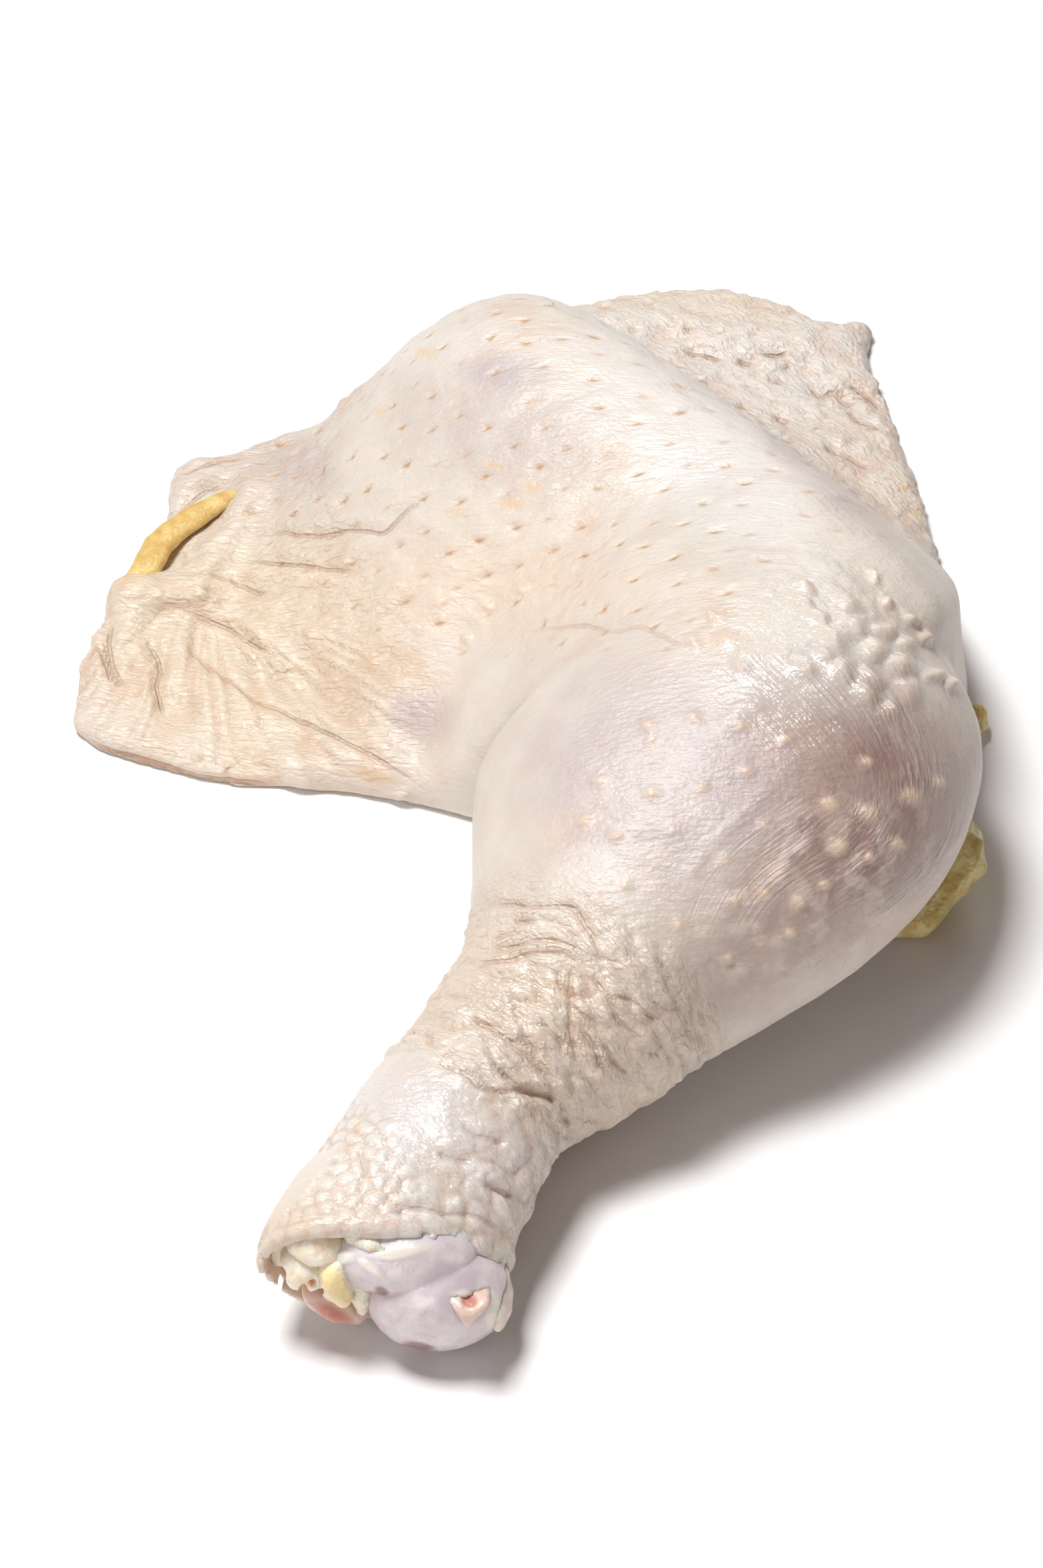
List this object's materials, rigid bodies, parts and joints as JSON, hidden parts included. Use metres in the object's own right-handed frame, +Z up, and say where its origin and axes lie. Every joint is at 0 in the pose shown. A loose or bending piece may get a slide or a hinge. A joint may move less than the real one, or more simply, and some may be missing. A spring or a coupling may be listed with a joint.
{
  "type": "raw chicken leg",
  "caption": "Raw chicken leg lying skin side up: bent drumstick and thigh in one loose skin, with the cut ankle end and bits of fat.",
  "frame": {"origin": "middle of the footprint on the flat underside", "axes": "+Z up through the skin side, which is the smallest extent; +Y from the cut ankle towards the thigh's far skin edge, the longest extent; +X towards the outside of the knee"},
  "size_m": [0.1262, 0.1964, 0.0473],
  "materials": {
    "skin": "moist pale skin, satin to wet",
    "fat": "yellow fat, wet",
    "cartilage": "smooth pale cartilage, wet",
    "meat": "cut tendon and meat, wet"
  },
  "bodies": {
    "root": {"leg": "skin", "cuff_fat": "fat", "knuckle": "cartilage", "tendon": "meat", "tendon_tab": "meat", "gristle": "cartilage", "flap_fat": "fat", "knee_fat": "fat", "edge_fat": "fat"}
  },
  "joints": []
}
